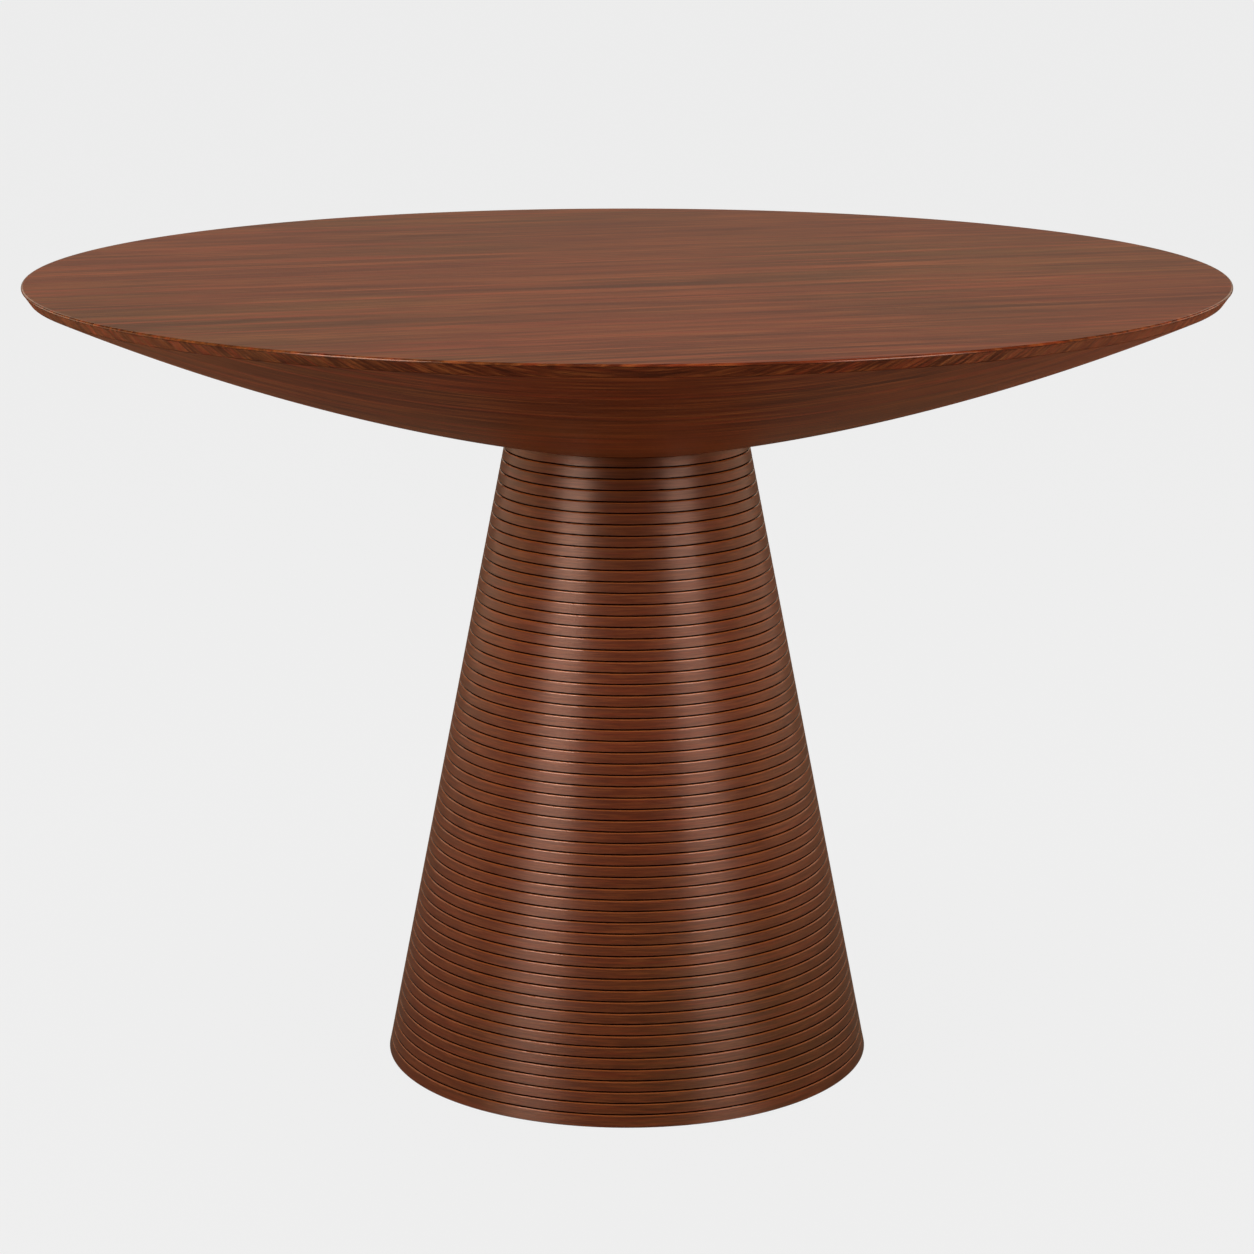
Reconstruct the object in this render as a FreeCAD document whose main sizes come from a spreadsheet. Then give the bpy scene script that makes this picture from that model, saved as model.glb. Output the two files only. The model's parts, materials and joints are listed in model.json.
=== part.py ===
import FreeCAD, Part
import math
import os
import re
import Sketcher

# Round pedestal dining table whose dished top tips up on a rear hinge and is held by a sliding bolt.
# Millimetres, +Z up, origin on the floor under the middle of the pedestal. The hinge is on the +Y side.

Vector = FreeCAD.Vector

# Driving dimensions: name in the sheet, value, what it is.
DRIVING = (
    ("top_radius", 558.8, "radius of the top at its upper edge"),
    ("table_height", 762, "floor to the top's surface"),
    ("veneer", 0.8, "thickness of the top's face veneer"),
    ("rim_height", 750.4, "height of the lower edge of the lip"),
    ("panel_radius", 508, "radius of the top's core panel"),
    ("panel_thickness", 18, "thickness of the core panel"),
    ("bowl_curve", 2044, "radius of the arc that shapes the underside"),
    ("bowl_reach", 299.6, "how far that arc's centre lies past the table's axis"),
    ("bowl_centre", 2608.5, "height of that arc's centre"),
    ("bowl_wall", 9, "thickness of the moulded underside"),
    ("seat_height", 608.5, "height of the flat bottom of the top"),
    ("neck_plate_radius", 111.8, "radius of the plate in the bottom of the bowl"),
    ("neck_plate_thickness", 15, "thickness of that plate"),
    ("hub_bore", 45, "radius of the hub's hollow"),
    ("rib_thickness", 15, "thickness of a rib under the top"),
    ("rib_reach", 500, "radius at which the ribs end"),
    ("glue_gap", 0.3, "gap left for glue between shaped pieces"),
    ("fit_gap", 0.2, "gap round a part that is let into wood"),
    ("overcut", 1, "how far a cutting tool passes the face that it cuts"),
    ("hub_bolt_circle", 78, "distance of each hub bolt from the axis"),
    ("hub_bolt_head", 6.5, "radius of a hub bolt's head"),
    ("hub_bolt_height", 8, "height of that head"),
    ("hub_bolt_inset", 0.5, "how deep that head lies in the plate"),
    ("hub_bolt_radius", 4, "radius of a hub bolt's shank"),
    ("hub_bolt_length", 34, "length of that shank"),
    ("hex_socket_radius", 3.5, "radius over the corners of the socket in that head"),
    ("hex_socket_depth", 4, "depth of that socket"),
    ("hub_insert_radius", 6, "radius of a threaded sleeve in the hub"),
    ("hub_insert_length", 20, "length of that sleeve"),
    ("neck_height", 607, "height of the pedestal's upper edge"),
    ("neck_radius", 114.9, "radius of the pedestal at its upper edge"),
    ("skirt_height", 3, "gap between the floor and the pedestal's lower edge"),
    ("skirt_radius", 233.5, "radius of the pedestal at its lower edge"),
    ("skin_wall", 7, "thickness of the grooved skin, measured level"),
    ("core_wall", 12, "thickness of the moulded shell, measured level"),
    ("groove_count", 58, "number of grooves round the pedestal"),
    ("groove_first", 15, "height of the lowest groove"),
    ("groove_last", 598.3, "height of the highest groove"),
    ("groove_width", 2, "width of a groove at the surface"),
    ("groove_depth", 2, "depth of a groove"),
    ("head_thickness", 24, "thickness of the block in the pedestal's neck"),
    ("base_height", 22, "height of the underside of the base plate"),
    ("base_thickness", 24, "thickness of the base plate"),
    ("ballast_radius", 152, "radius of a ballast plate"),
    ("ballast_thickness", 15, "thickness of a ballast plate"),
    ("ballast_bolt_circle", 120, "distance of each ballast bolt from the axis"),
    ("ballast_bolt_head", 7.2, "radius over the corners of a ballast bolt's head"),
    ("ballast_bolt_height", 5.5, "height of that head"),
    ("ballast_bolt_radius", 4, "radius of a ballast bolt's shank"),
    ("ballast_bolt_length", 46, "length of that shank"),
    ("fin_clearance", 3, "gap between a fin's foot and the ballast plates"),
    ("fin_inset", 60, "distance from the axis to a fin's inner edge"),
    ("fin_thickness", 15, "thickness of a fin inside the pedestal"),
    ("tie_offset", 60, "distance of each tie rod from the axis"),
    ("tie_radius", 5, "radius of a tie rod"),
    ("tie_inset", 1, "how deep a tie rod's ends lie in the wood"),
    ("nut_radius", 9.8, "radius over the corners of a tie rod's nut"),
    ("nut_height", 8, "height of that nut"),
    ("washer_radius", 12, "radius of a tie rod's washer"),
    ("washer_thickness", 2, "thickness of that washer"),
    ("sink_radius", 13, "radius of the recess for a nut and its washer"),
    ("sink_depth", 12, "depth of that recess"),
    ("seat_circle", 82, "distance of each seat pad from the axis"),
    ("seat_pad_radius", 9, "radius of a seat pad"),
    ("hinge_back", 131, "distance of the hinge line behind the axis"),
    ("hinge_height", 604, "height of the hinge line"),
    ("hinge_width", 76, "width of both hinge leaves"),
    ("knuckle_radius", 4.5, "outer radius of a hinge knuckle"),
    ("pin_radius", 2.5, "radius of the hinge pin"),
    ("running_gap", 0.06, "radial clearance of a running fit"),
    ("knuckle_gap", 0.4, "gap between neighbouring knuckles"),
    ("leaf_front", 60, "distance of the leaves' front edge behind the axis"),
    ("leaf_back", 125, "distance of the leaves' back edge behind the axis"),
    ("leaf_thickness", 3, "thickness of a hinge leaf"),
    ("web_reach", 3.5, "how far a knuckle's web stands in front of the hinge line"),
    ("pin_head_rim", 1, "how far the pin's heads stand out round it"),
    ("pin_head_thickness", 1.5, "thickness of those heads"),
    ("leaf_screw_side", 25, "distance of the leaf screws from the middle"),
    ("leaf_screw_front", 69, "distance of the front leaf screws behind the axis"),
    ("leaf_screw_back", 86, "distance of the back leaf screws behind the axis"),
    ("recess_back", 3, "how far the top's recess runs behind the hinge line"),
    ("screw_head", 4, "radius of a wood screw's head"),
    ("screw_shank", 2, "radius of its shank"),
    ("screw_sink", 2.2, "height of its countersunk head"),
    ("lock_height", 565, "height of the lock bolt's axis"),
    ("lock_radius", 5, "radius of the lock bolt"),
    ("lock_travel", 9, "how far the lock bolt slides"),
    ("tip_ease", 1.2, "height of the taper at the bolt's tip"),
    ("lock_tip", -63, "place of the bolt's tip when it is drawn back"),
    ("knob_face", 136, "place of the knob's inner face when it is drawn back"),
    ("knob_radius", 11, "radius of the lock's knob"),
    ("knob_thickness", 6, "thickness of the lock's knob"),
    ("knob_ease", 1.4, "radius of the knob's eased edges"),
    ("knob_web", 2, "thickness of the knob past the end of the bolt"),
    ("bush_radius", 7.8, "radius of the bush in the rear wall"),
    ("bush_hole", 8, "radius of the hole for that bush"),
    ("bush_front", 96, "place of that bush's front end"),
    ("bush_length", 26, "length of that bush"),
    ("flange_front", 120.5, "place of the front of the bush's flange"),
    ("flange_radius", 12.2, "radius of that flange"),
    ("flange_seat", 12.5, "radius of the flat seat for that flange"),
    ("flange_thickness", 6, "thickness of that flange"),
    ("guide_front", -58, "place of the front guide's front face"),
    ("guide_back", 54, "place of the back guide's front face"),
    ("guide_length", 12, "length of a guide along the bolt"),
    ("guide_side", 15, "half the width of a guide"),
    ("guide_drop", 10, "how far a guide reaches below the bolt's axis"),
    ("guide_screw_side", 10.5, "distance of the guide screws from the middle"),
    ("guide_screw_length", 42, "length of a guide screw"),
    ("collar_front", 45.8, "place of the collar's front face"),
    ("collar_length", 8, "length of the collar"),
    ("collar_radius", 9, "radius of the collar"),
    ("grub_radius", 2, "radius of the collar's screw"),
    ("keeper_back", -65, "place of the keeper tongue's rear face"),
    ("keeper_thickness", 5, "thickness of the keeper's tongue"),
    ("keeper_plate_side", 18, "half the width of the keeper's plate"),
    ("keeper_plate_front", -100, "place of that plate's front edge"),
    ("keeper_plate_back", -44, "place of that plate's back edge"),
    ("keeper_side", 9, "half the width of the keeper's tongue"),
    ("keeper_drop", 12, "how far the tongue reaches below the bolt's axis"),
    ("keeper_clearance", 0.5, "gap round the bolt in the tongue's hole"),
    ("slot_side", 13, "half the width of the slot in the head for the tongue"),
    ("slot_front", -92, "place of that slot's front end"),
    ("slot_back", -58, "place of that slot's back end"),
    ("foot_circle", 190, "distance of each foot from the axis"),
    ("foot_radius", 17, "radius of a foot's pad"),
    ("foot_thickness", 8, "thickness of a foot's pad"),
    ("foot_ease", 1.5, "height of the taper under a foot's pad"),
    ("stem_radius", 4, "radius of a foot's threaded stem"),
    ("stem_low", 3, "height of the bottom of a foot's stem"),
    ("stem_top", 40, "height of the top of a foot's stem"),
    ("insert_radius", 6.5, "radius of a foot's threaded sleeve"),
    ("insert_length", 20, "length of that sleeve"),
    ("insert_flange", 11, "radius of that sleeve's flange"),
    ("insert_flange_thickness", 1.5, "thickness of that flange"),
    ("well_depth", 22, "depth of the well over a foot's stem"),
    ("buffer_back", 216, "distance of the stop buffers behind the axis"),
    ("buffer_side", 30, "distance of each stop buffer from the middle"),
    ("buffer_radius", 9, "radius of a stop buffer"),
    ("buffer_low", 605.8, "height of the stop buffers' free ends"),
    ("buffer_top", 636, "height of the ends that are let into the underside"),
    ("buffer_sink", 1.5, "depth of the hole over a buffer screw's head"),
)
NAMES = {name for name, number, note in DRIVING}

FLANK_SLOPE = "((skirt_radius - neck_radius) / (neck_height - skirt_height))"
CORE_BORE = "(neck_radius - skin_wall - core_wall)"
PANEL_LOW = "(table_height - veneer - panel_thickness)"

document = FreeCAD.newDocument("TiltTopTable")
sheet = document.addObject("Spreadsheet::Sheet", "Sizes")
nodes = []


def fill_sheet():
    """Write every driving dimension into the sheet: name, value and note."""
    for row, (name, number, note) in enumerate(DRIVING, start=1):
        sheet.set(f"A{row}", name)
        sheet.set(f"B{row}", str(number))
        sheet.set(f"C{row}", note)
        sheet.setAlias(f"B{row}", name)
    document.recompute()


def formula(text):
    """The text with each driving dimension written as a cell of the sheet."""
    return re.sub(r"[a-z_]+", lambda found: "Sizes." + found.group() if found.group() in NAMES
                  else found.group(), str(text))


def value(text):
    """The number that a formula comes to now."""
    return float(sheet.evalExpression(formula(text)))


def bind(thing, **sizes):
    """Bind properties of an object to formulas; place_x, place_y and place_z set where it stands."""
    for name, text in sizes.items():
        target = "Placement.Base." + name[-1] if name.startswith("place_") else name
        thing.setExpression(target, formula(text))
    return thing


def node(thing, label):
    """Keep an object as a finished sub-part under its own name."""
    thing.Label = label
    nodes.append(thing)
    return thing


# Heights and radii that several pieces share, as formulas.

def flank(height, inset="0"):
    """Radius of the pedestal's flank at a height, less a wall measured level."""
    return f"(neck_radius + (neck_height - ({height})) * {FLANK_SLOPE} - ({inset}))"


def bore(height):
    """Radius that a disc inside the pedestal's shell has at a height."""
    return flank(height, "skin_wall + core_wall + glue_gap")


def bowl(radius, depth="0"):
    """Height of the underside's arc at a radius, or of a surface that deep inside it."""
    return f"(bowl_centre - sqrt((bowl_curve - ({depth}))^2 - (({radius}) + bowl_reach)^2))"


def bowl_radius(height, depth="0"):
    """Radius of the underside's arc at a height, or of a surface that deep inside it."""
    return f"(sqrt((bowl_curve - ({depth}))^2 - (bowl_centre - ({height}))^2) - bowl_reach)"


# Small builders.

def cylinder(radius, low, length, x="0", y="0", axis="Z"):
    """A cylinder along an axis; low is where it starts on that axis, x and y are the other two places."""
    solid = document.addObject("Part::Cylinder", "Cylinder")
    if axis == "Z":
        place = (x, y, low)
    elif axis == "Y":
        place = (x, low, y)
        solid.Placement.Rotation = FreeCAD.Rotation(Vector(1, 0, 0), -90)
    else:
        place = (low, x, y)
        solid.Placement.Rotation = FreeCAD.Rotation(Vector(0, 1, 0), 90)
    return bind(solid, Radius=radius, Height=length, place_x=place[0], place_y=place[1], place_z=place[2])


def cone(low_radius, high_radius, low, length, x="0", y="0"):
    """An upright cone frustum."""
    solid = document.addObject("Part::Cone", "Cone")
    return bind(solid, Radius1=low_radius, Radius2=high_radius, Height=length,
                place_x=x, place_y=y, place_z=low)


def box(x, y, z):
    """A box from three pairs of formulas, each the low and the high end of a side."""
    solid = document.addObject("Part::Box", "Box")
    return bind(solid, Length=f"({x[1]}) - ({x[0]})", Width=f"({y[1]}) - ({y[0]})",
                Height=f"({z[1]}) - ({z[0]})", place_x=x[0], place_y=y[0], place_z=z[0])


def hexagon(radius, low, length, x, y):
    """An upright six-sided prism."""
    solid = document.addObject("Part::Prism", "Prism")
    solid.Polygon = 6
    return bind(solid, Circumradius=radius, Height=length, place_x=x, place_y=y, place_z=low)


def joined(pieces):
    """One solid from pieces that meet."""
    union = document.addObject("Part::MultiFuse", "Union")
    union.Shapes = list(pieces)
    return union


def group(pieces):
    """Separate solids kept together as one object."""
    gathered = document.addObject("Part::Compound", "Group")
    gathered.Links = list(pieces)
    return gathered


def cut(blank, *tools):
    """The blank with each tool taken out of it in turn."""
    for tool in tools:
        result = document.addObject("Part::Cut", "Cut")
        result.Base = blank
        result.Tool = tool
        blank = result
    return blank


def origin_plane(body, role):
    """One of a body's own origin planes."""
    return next(feature for feature in body.Origin.OriginFeatures if feature.Role == role)


def arc_middle(start, end, radius):
    """The middle of an arc; a positive radius bulges to the right of the way from start to end."""
    chord = end - start
    across = Vector(chord.y, -chord.x, 0).normalize()
    rise = abs(radius) - math.sqrt(radius ** 2 - (chord.Length / 2) ** 2)
    return (start + end) / 2 + across * math.copysign(rise, radius)


def outline(body, corners, arcs=None):
    """A closed sketch in the XZ plane: corners are pairs of formulas, arcs gives the radius of some sides."""
    arcs = arcs or {}
    sketch = body.newObject("Sketcher::SketchObject", "Outline")
    sketch.AttachmentSupport = [(origin_plane(body, "XZ_Plane"), "")]
    sketch.MapMode = "FlatFace"
    points = [Vector(value(across), value(height), 0) for across, height in corners]
    ends = []
    for side, start in enumerate(points):
        end = points[(side + 1) % len(points)]
        if side in arcs:
            radius, bulge = arcs[side]
            curve = Part.Arc(start, arc_middle(start, end, value(radius) * bulge), end)
        else:
            curve = Part.LineSegment(start, end)
        index = sketch.addGeometry(curve, False)
        first = 1 if sketch.getPoint(index, 1).distanceToPoint(start) < 0.001 else 2
        ends.append((index, first, 3 - first))
    for side, (index, first, last) in enumerate(ends):
        before = ends[side - 1]
        sketch.addConstraint(Sketcher.Constraint("Coincident", before[0], before[2], index, first))
        across, height = corners[side]
        fix(sketch, Sketcher.Constraint("DistanceX", -1, 1, index, first, points[side].x), across)
        fix(sketch, Sketcher.Constraint("DistanceY", -1, 1, index, first, points[side].y), height)
        if side in arcs:
            fix(sketch, Sketcher.Constraint("Radius", index, value(arcs[side][0])), arcs[side][0])
    return sketch


def fix(sketch, constraint, text):
    """Add a sized constraint and bind it to a formula."""
    index = sketch.addConstraint(constraint)
    sketch.setExpression(f"Constraints[{index}]", formula(text))


def turned(label, corners, arcs=None, sweep=360, start=0):
    """A body turned about the Z axis from its outline, through a sweep in degrees from a start."""
    body = document.addObject("PartDesign::Body", label)
    sketch = outline(body, corners, arcs)
    turn = body.newObject("PartDesign::Revolution", "Turning")
    turn.Profile = sketch
    turn.ReferenceAxis = (sketch, ["V_Axis"])
    turn.Angle = sweep
    body.Placement = FreeCAD.Placement(Vector(), FreeCAD.Rotation(Vector(0, 0, 1), start))
    document.recompute()
    return body


def board(label, corners, thickness, angle, arcs=None):
    """A flat board standing on edge in the plane through the Z axis at an angle."""
    body = document.addObject("PartDesign::Body", label)
    sketch = outline(body, corners, arcs)
    pad = body.newObject("PartDesign::Pad", "Thickness")
    pad.Profile = sketch
    pad.Midplane = True
    pad.setExpression("Length", formula(thickness))
    body.Placement = FreeCAD.Placement(Vector(), FreeCAD.Rotation(Vector(0, 0, 1), angle))
    document.recompute()
    return body


def on_circle(radius, angle):
    """Formulas for the place on a circle at an angle in degrees."""
    return f"(({radius}) * cos({angle}))", f"(({radius}) * sin({angle}))"


def wood_screw(x, y, head, length, up):
    """A countersunk screw whose flat head lies at a height and whose shank runs up or down."""
    shank_length = f"({length}) - screw_sink"
    if up:
        top = cone("screw_head", "screw_shank", head, "screw_sink", x, y)
        shank = cylinder("screw_shank", f"({head}) + screw_sink", shank_length, x, y)
    else:
        top = cone("screw_shank", "screw_head", f"({head}) - screw_sink", "screw_sink", x, y)
        shank = cylinder("screw_shank", f"({head}) - ({length})", shank_length, x, y)
    return joined([top, shank])


# The pedestal.

STAVES = 16


def pedestal_shell():
    """The coopered shell under the skin: staves glued edge to edge, notched for the hinge and the lock."""
    top, low = "neck_height", "skirt_height"
    inset = "skin_wall + core_wall"
    notch, passage = hinge_notch(), lock_passage()
    staves = []
    for number in range(STAVES):
        stave = turned(f"Stave_{number + 1}", [
            (flank(low, inset), low), (flank(low, "skin_wall"), low),
            (flank(top, "skin_wall"), top), (flank(top, inset), top)],
            sweep=360 / STAVES, start=number * 360 / STAVES)
        staves.append(cut(stave, notch, passage))
    return node(group(staves), "pedestal_core")


def hinge_notch():
    """The space that the fixed leaf takes out of the pedestal's upper edge."""
    side = "hinge_width / 2 + fit_gap"
    return box((f"-({side})", side), ("leaf_front", "leaf_back"),
               ("neck_height - leaf_thickness", "neck_height + overcut"))


def lock_passage():
    """The hole through the pedestal's rear wall for the bush, with a flat seat for its flange."""
    outside = flank("lock_height", "-overcut")
    hole = cylinder("bush_hole", "leaf_front", f"{outside} - leaf_front", "0", "lock_height", "Y")
    seat = cylinder("flange_seat", "flange_front", "neck_radius - bush_front", "0", "lock_height", "Y")
    return joined([hole, seat])


def grooved_skin():
    """The skin as one turned profile: a straight flank with a V groove at every step."""
    low, top = value("skirt_height"), value("neck_height")
    slope, wall = value(FLANK_SLOPE), value("skin_wall")
    first, last = value("groove_first"), value("groove_last")
    count, half, depth = int(value("groove_count")), value("groove_width") / 2, value("groove_depth")

    def surface(height, inset=0.0):
        return Vector(value("neck_radius") + (top - height) * slope - inset, 0, height)

    points = [surface(low, wall), surface(low)]
    for step in range(count):
        height = first + (last - first) * step / (count - 1)
        points += [surface(height - half), surface(height, depth), surface(height + half)]
    points += [surface(top), surface(top, wall)]
    face = Part.Face(Part.makePolygon(points + points[:1]))
    blank = document.addObject("Part::Feature", "SkinBlank")
    blank.Shape = face.revolve(Vector(), Vector(0, 0, 1), 360)
    blank.Placement = FreeCAD.Placement()
    return node(cut(blank, hinge_notch(), lock_passage()), "pedestal_skin")


def pedestal_fins():
    """Four upright boards that carry the head; each is notched over the ballast plates."""
    foot, top = "base_height + base_thickness", "neck_height - head_thickness"
    step = "base_height + base_thickness + ballast_thickness * 2 + washer_thickness"
    for number in range(4):
        label = f"pedestal_fin_{number + 1}"
        node(board(label, [
            ("ballast_radius + fin_clearance", foot), (bore(foot), foot), (bore(top), top),
            ("fin_inset", top), ("fin_inset", step),
            ("ballast_radius + fin_clearance", step)],
            "fin_thickness", 45 + 90 * number), label)


def tie_hardware():
    """Two tie rods with a washer and a nut at each end, sunk into the head and the base plate."""
    places = ("-tie_offset", "tie_offset")
    low, top = "base_height", "neck_height"
    low_washer, high_washer = f"{low} + sink_depth - washer_thickness", f"{top} - sink_depth"
    low_nut, high_nut = f"{low_washer} - nut_height", f"{high_washer} + washer_thickness"
    rods = group(cylinder("tie_radius", f"{low} + tie_inset", f"{top} - {low} - 2 * tie_inset", x)
                 for x in places)
    washers = group(
        cut(cylinder("washer_radius", height, "washer_thickness", x),
            cylinder("tie_radius", height, "washer_thickness", x))
        for x in places for height in (low_washer, high_washer))
    nuts = group(
        cut(hexagon("nut_radius", height, "nut_height", x, "0"), cylinder("tie_radius", height, "nut_height", x))
        for x in places for height in (low_nut, high_nut))
    node(rods, "tie_rods")
    node(washers, "tie_washers")
    node(nuts, "tie_nuts")
    sinks = [cylinder("sink_radius", height, "sink_depth", x) for x in places for height in (low, high_washer)]
    return rods, group(sinks)


def head_and_base(rods, sinks):
    """The block in the neck, the base plate, and the ballast plates bolted to it."""
    head_low = "neck_height - head_thickness"
    base_top = "base_height + base_thickness"
    slot = box(("-slot_side", "slot_side"), ("slot_front", "slot_back"),
               (f"{head_low} - overcut", "neck_height + overcut"))
    leaf = hinge_notch()
    head = cone(bore(head_low), bore("neck_height"), head_low, "head_thickness")
    node(cut(head, rods, sinks, slot, leaf, leaf_screws_down(), guide_screws()), "head_block")
    inserts = foot_inserts()
    bolts = ballast_bolts()
    base = cone(bore("base_height"), bore(base_top), "base_height", "base_thickness")
    wells = group(cylinder("insert_radius", "base_height - overcut", "well_depth + overcut", *place)
                  for place in foot_places())
    node(cut(base, rods, sinks, inserts, wells, bolts), "base_plate")
    for number in range(2):
        plate = cylinder("ballast_radius", f"{base_top} + ballast_thickness * {number}", "ballast_thickness")
        node(cut(plate, rods, bolts), f"ballast_plate_{number + 1}")


def ballast_bolts():
    """Four hexagon-headed bolts through the ballast plates into the base plate."""
    top = "base_height + base_thickness + ballast_thickness * 2"
    bolts = []
    for angle in (0, 90, 180, 270):
        place = on_circle("ballast_bolt_circle", angle)
        bolts.append(joined([
            hexagon("ballast_bolt_head", top, "ballast_bolt_height", *place),
            cylinder("ballast_bolt_radius", f"{top} - ballast_bolt_length", "ballast_bolt_length", *place)]))
    return node(group(bolts), "ballast_bolts")


def seat_pads():
    """Four thin pads on the head, on which the closed top rests."""
    pads = [cylinder("seat_pad_radius", "neck_height", "seat_height - neck_height",
                     *on_circle("seat_circle", angle))
            for angle in (15, 165, 195, 345)]
    return node(group(pads), "seat_pads")


# The feet.

def foot_places():
    """The middle of each foot: front, left, right and back."""
    return [on_circle("foot_circle", angle) for angle in (0, 90, 180, 270)]


def foot_inserts():
    """Four flanged threaded sleeves in the base plate."""
    sleeves = []
    for place in foot_places():
        sleeve = joined([cylinder("insert_flange", "base_height", "insert_flange_thickness", *place),
                         cylinder("insert_radius", "base_height", "insert_length", *place)])
        thread = cylinder("stem_radius + running_gap", "base_height", "insert_length", *place)
        sleeves.append(cut(sleeve, thread))
    return node(group(sleeves), "foot_inserts")


def feet():
    """Each foot: a pad with an eased lower edge and a threaded stem that screws into its sleeve."""
    for number, place in enumerate(foot_places(), start=1):
        pad = joined([cone("foot_radius - foot_ease", "foot_radius", "0", "foot_ease", *place),
                      cylinder("foot_radius", "foot_ease", "foot_thickness - foot_ease", *place)])
        stem = cylinder("stem_radius", "stem_low", "stem_top - stem_low", *place)
        node(cut(pad, stem), f"foot_pad_{number}")
        node(stem, f"foot_stem_{number}")


# The hinge.

KNUCKLES = 5
SHORT_SCREW = "20"
LONG_SCREW = "32"


def knuckle_span(number):
    """Formulas for the ends of one of the knuckles, counted from the left."""
    pitch = f"(hinge_width / {KNUCKLES})"
    low = f"(-hinge_width / 2 + {pitch} * {number} + knuckle_gap / 2)"
    return low, f"({low} + {pitch} - knuckle_gap)"


def hinge_leaf(label, numbers, leaf_low, hole, screws):
    """A leaf with its knuckles; a web joins each knuckle to the leaf."""
    leaf_high = f"{leaf_low} + leaf_thickness"
    half = "hinge_width / 2"
    pieces = [box((f"-{half}", half), ("leaf_front", "leaf_back"), (leaf_low, leaf_high))]
    for number in numbers:
        low, high = knuckle_span(number)
        pieces.append(cylinder("knuckle_radius", low, f"{high} - {low}", "hinge_back", "hinge_height", "X"))
        pieces.append(box((low, high), ("leaf_back - overcut", "hinge_back"), (leaf_low, leaf_high)))
        pieces.append(box((low, high), ("hinge_back - web_reach", "hinge_back"), ("hinge_height", leaf_high)))
    pin_hole = cylinder(hole, f"-{half} - overcut", "hinge_width + 2 * overcut", "hinge_back", "hinge_height", "X")
    return node(cut(joined(pieces), pin_hole, screws), label)


def leaf_places():
    """Where the screws of each leaf stand."""
    return [(x, y) for x in ("-leaf_screw_side", "leaf_screw_side")
            for y in ("leaf_screw_front", "leaf_screw_back")]


def leaf_screws_down():
    """The screws that hold the fixed leaf to the head."""
    return group(wood_screw(x, y, "neck_height", SHORT_SCREW, False) for x, y in leaf_places())


def leaf_screws_up():
    """The screws that hold the moving leaf to the top."""
    return group(wood_screw(x, y, "seat_height", LONG_SCREW, True) for x, y in leaf_places())


def hinge():
    """Both leaves, their screws and the pin."""
    half = "hinge_width / 2"
    down = node(leaf_screws_down(), "fixed_leaf_screws")
    rising = node(leaf_screws_up(), "moving_leaf_screws")
    hinge_leaf("hinge_fixed_leaf", (0, 2, 4), "neck_height - leaf_thickness", "pin_radius", down)
    hinge_leaf("hinge_moving_leaf", (1, 3), "seat_height", "pin_radius + running_gap", rising)
    shank = cylinder("pin_radius", f"-{half}", "hinge_width", "hinge_back", "hinge_height", "X")
    heads = [cylinder("pin_radius + pin_head_rim", start, "pin_head_thickness", "hinge_back", "hinge_height", "X")
             for start in (f"-{half} - pin_head_thickness", half)]
    node(joined([shank] + heads), "hinge_pin")


# The lock.

def guide_screws():
    """Two long screws up through each guide into the head."""
    return group(wood_screw(x, f"{start} + guide_length / 2", "lock_height - guide_drop", "guide_screw_length", True)
                 for x in ("-guide_screw_side", "guide_screw_side") for start in ("guide_front", "guide_back"))


def lock():
    """The guides, the bush in the rear wall, and the bolt with its collar and knob."""
    screws = node(guide_screws(), "guide_screws")
    head_low = "neck_height - head_thickness"
    clear = cylinder("lock_radius + running_gap", "lock_tip", "knob_face - lock_tip", "0", "lock_height", "Y")
    blocks = [cut(box(("-guide_side", "guide_side"), (start, f"{start} + guide_length"),
                      ("lock_height - guide_drop", head_low)), clear, screws)
              for start in ("guide_front", "guide_back")]
    node(group(blocks), "bolt_guides")
    bush = joined([cylinder("bush_radius", "bush_front", "bush_length", "0", "lock_height", "Y"),
                   cylinder("flange_radius", "flange_front", "flange_thickness", "0", "lock_height", "Y")])
    node(cut(bush, clear), "bolt_bush")
    tip = document.addObject("Part::Cone", "Tip")
    tip.Placement.Rotation = FreeCAD.Rotation(Vector(1, 0, 0), -90)
    bind(tip, Radius1="lock_radius - tip_ease", Radius2="lock_radius", Height="tip_ease",
         place_x="0", place_y="lock_tip", place_z="lock_height")
    rod_length = "knob_face + knob_thickness - knob_web - lock_tip - tip_ease"
    shank = cylinder("lock_radius", "lock_tip + tip_ease", rod_length, "0", "lock_height", "Y")
    rod = node(joined([tip, shank]), "bolt_rod")
    disc = cylinder("knob_radius", "knob_face", "knob_thickness", "0", "lock_height", "Y")
    node(cut(eased(disc, "knob_ease"), rod), "bolt_knob")
    collar = cylinder("collar_radius", "collar_front", "collar_length", "0", "lock_height", "Y")
    grub = cylinder("grub_radius", "lock_height + lock_radius", "collar_radius - lock_radius",
                    "0", "collar_front + collar_length / 2")
    node(cut(collar, rod, grub), "bolt_collar")
    node(grub, "collar_screw")


def eased(solid, size):
    """A disc with both round edges rounded over."""
    document.recompute()
    rounded = document.addObject("Part::Fillet", "Eased")
    rounded.Base = solid
    number = value(size)
    rounded.Edges = [(index, number, number) for index, edge in enumerate(solid.Shape.Edges, start=1)
                     if edge.Curve.TypeId == "Part::GeomCircle"]
    return rounded


KEEPER_SCREW = "30"


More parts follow.
